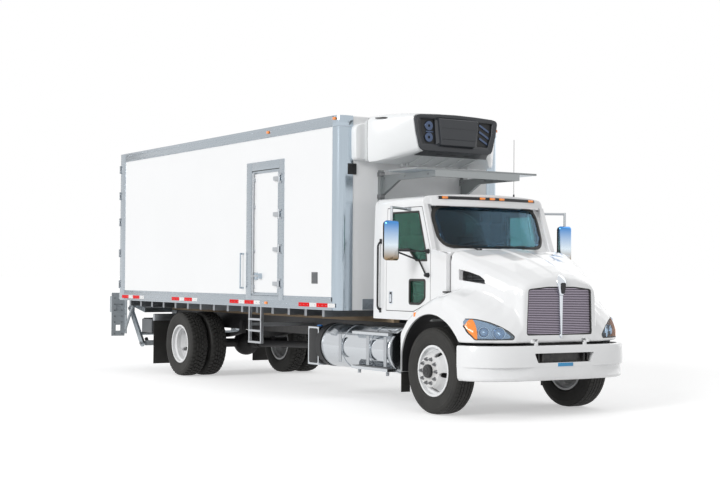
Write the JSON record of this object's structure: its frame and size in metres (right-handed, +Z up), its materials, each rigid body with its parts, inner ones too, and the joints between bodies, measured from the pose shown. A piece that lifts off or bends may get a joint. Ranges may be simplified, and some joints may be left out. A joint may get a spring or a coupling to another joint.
{
  "type": "refrigerated box truck with conventional cab and tail lift",
  "caption": "Rigid delivery truck: tilting hood, two-door cab, insulated box with nose-mounted cooling unit, side door, rear doors and folding tail lift.",
  "frame": {"origin": "on the ground, at the bottom centre of the whole truck's bounding box", "axes": "+X forward along the truck, +Y to its left, +Z up"},
  "size_m": [10.3, 2.91, 3.6769],
  "materials": {
    "white_paint": "gloss",
    "box_panel": "gloss",
    "polished_aluminium": "polished",
    "frame_paint": "satin",
    "stainless": "polished",
    "galvanised": "dull",
    "cast_iron": "matte",
    "tyre_rubber": "matte",
    "white_wheel": "gloss",
    "clear_glass": "clear",
    "dark_plastic": "matte",
    "grille_metal": "satin",
    "lamp_lens": "clear",
    "mirror_chrome": "polished",
    "seat_cloth": "woven",
    "grey_interior": "grained",
    "flap_rubber": "matte",
    "wood_sill": "raw",
    "unit_shell": "gloss",
    "unit_grille": "satin"
  },
  "bodies": {
    "chassis": {"frame_rails": "frame_paint", "frame_crossmembers": "frame_paint", "front_axle": "cast_iron", "rear_axle": "cast_iron", "leaf_springs": "cast_iron", "engine_and_radiator": "cast_iron", "driveline": "cast_iron", "front_bumper": "white_paint", "side_tanks": "polished_aluminium", "battery_box": "polished_aluminium", "rear_mud_flaps": "flap_rubber", "body_sills": "wood_sill", "side_ladder": "galvanised", "cab_floor": "white_paint", "cab_front": "white_paint", "cab_back_wall": "white_paint", "cab_roof": "white_paint", "cab_sides": "white_paint", "windshield": "clear_glass", "sun_visor": "white_paint", "dashboard": "grey_interior", "seats": "seat_cloth", "box_floor": "galvanised", "box_roof": "box_panel", "box_front_wall": "box_panel", "box_wall_left": "box_panel", "box_wall_right": "box_panel", "box_rear_frame": "stainless", "reefer_housing": "unit_shell", "reefer_grille": "unit_grille", "roof_platform": "galvanised", "liftgate_frame": "galvanised"},
    "cab_door_left": {"door_left": "white_paint", "door_glass_left": "clear_glass", "mirror_left": "mirror_chrome"},
    "cab_door_right": {"door_right": "white_paint", "door_glass_right": "clear_glass", "mirror_right": "mirror_chrome"},
    "hood_body": {"hood": "white_paint", "grille": "grille_metal", "headlamps": "lamp_lens", "front_mud_flaps": "flap_rubber"},
    "side_door_leaf": {"side_door": "box_panel"},
    "rear_leaf_left": {"rear_door_left": "box_panel"},
    "rear_leaf_right": {"rear_door_right": "box_panel"},
    "lift_arms": {"liftgate_arms": "galvanised"},
    "lift_carrier": {"liftgate_carrier": "galvanised"},
    "lift_platform": {"liftgate_platform": "polished_aluminium"},
    "steer_left": {"knuckle_left": "cast_iron"},
    "steer_right": {"knuckle_right": "cast_iron"},
    "front_wheel_body_left": {"front_wheel_left": "white_wheel", "front_tyre_left": "tyre_rubber"},
    "front_wheel_body_right": {"front_wheel_right": "white_wheel", "front_tyre_right": "tyre_rubber"},
    "rear_dual_left": {"rear_wheels_left": "white_wheel", "rear_tyres_left": "tyre_rubber"},
    "rear_dual_right": {"rear_wheels_right": "white_wheel", "rear_tyres_right": "tyre_rubber"}
  },
  "joints": [
    {"name": "hood_tilt", "type": "hinge", "parent": "chassis", "child": "hood_body", "pos_m": [5.06, 0, 0.86], "axis": [0, 1, 0], "range_deg": [0, 65]},
    {"name": "cab_door_left_swing", "type": "hinge", "parent": "chassis", "child": "cab_door_left", "pos_m": [3.84, 0.98, 1.8], "axis": [0, 0, -1], "range_deg": [0, 70]},
    {"name": "cab_door_right_swing", "type": "hinge", "parent": "chassis", "child": "cab_door_right", "pos_m": [3.84, -0.98, 1.8], "axis": [0, 0, 1], "range_deg": [0, 70]},
    {"name": "side_door_swing", "type": "hinge", "parent": "chassis", "child": "side_door_leaf", "pos_m": [0.84, -1.32, 2.2], "axis": [0, 0, 1], "range_deg": [0, 170]},
    {"name": "rear_door_left_swing", "type": "hinge", "parent": "chassis", "child": "rear_leaf_left", "pos_m": [-4.725, 1.305, 2.4], "axis": [0, 0, -1], "range_deg": [0, 255]},
    {"name": "rear_door_right_swing", "type": "hinge", "parent": "chassis", "child": "rear_leaf_right", "pos_m": [-4.725, -1.305, 2.4], "axis": [0, 0, 1], "range_deg": [0, 255]},
    {"name": "lift_arm_swing", "type": "hinge", "parent": "chassis", "child": "lift_arms", "pos_m": [-4.47, 0, 0.42], "axis": [0, -1, 0], "range_deg": [0, 76]},
    {"name": "lift_carrier_level", "type": "hinge", "parent": "lift_arms", "child": "lift_carrier", "pos_m": [-4.97, 0, 1], "axis": [0, -1, 0], "range_deg": [-76, 0]},
    {"name": "lift_platform_fold", "type": "hinge", "parent": "lift_carrier", "child": "lift_platform", "pos_m": [-4.97, 0, 1.07], "axis": [0, 1, 0], "range_deg": [0, 168]},
    {"name": "steer_left", "type": "hinge", "parent": "chassis", "child": "steer_left", "pos_m": [4.13, 0.93, 0.503], "axis": [0, 0, 1], "range_deg": [-35, 35]},
    {"name": "steer_right", "type": "hinge", "parent": "chassis", "child": "steer_right", "pos_m": [4.13, -0.93, 0.503], "axis": [0, 0, 1], "range_deg": [-35, 35]},
    {"name": "front_wheel_left_spin", "type": "hinge", "parent": "steer_left", "child": "front_wheel_body_left", "pos_m": [4.13, 1.0045, 0.503], "axis": [0, 1, 0], "continuous": true},
    {"name": "front_wheel_right_spin", "type": "hinge", "parent": "steer_right", "child": "front_wheel_body_right", "pos_m": [4.13, -1.0045, 0.503], "axis": [0, 1, 0], "continuous": true},
    {"name": "rear_wheels_left_spin", "type": "hinge", "parent": "chassis", "child": "rear_dual_left", "pos_m": [-2.535, 0.9015, 0.503], "axis": [0, 1, 0], "continuous": true},
    {"name": "rear_wheels_right_spin", "type": "hinge", "parent": "chassis", "child": "rear_dual_right", "pos_m": [-2.535, -0.9015, 0.503], "axis": [0, 1, 0], "continuous": true}
  ],
  "couplings": [
    {"joint": "steer_right", "follows": "steer_left", "ratio": 1},
    {"joint": "lift_carrier_level", "follows": "lift_arm_swing", "ratio": -1}
  ]
}
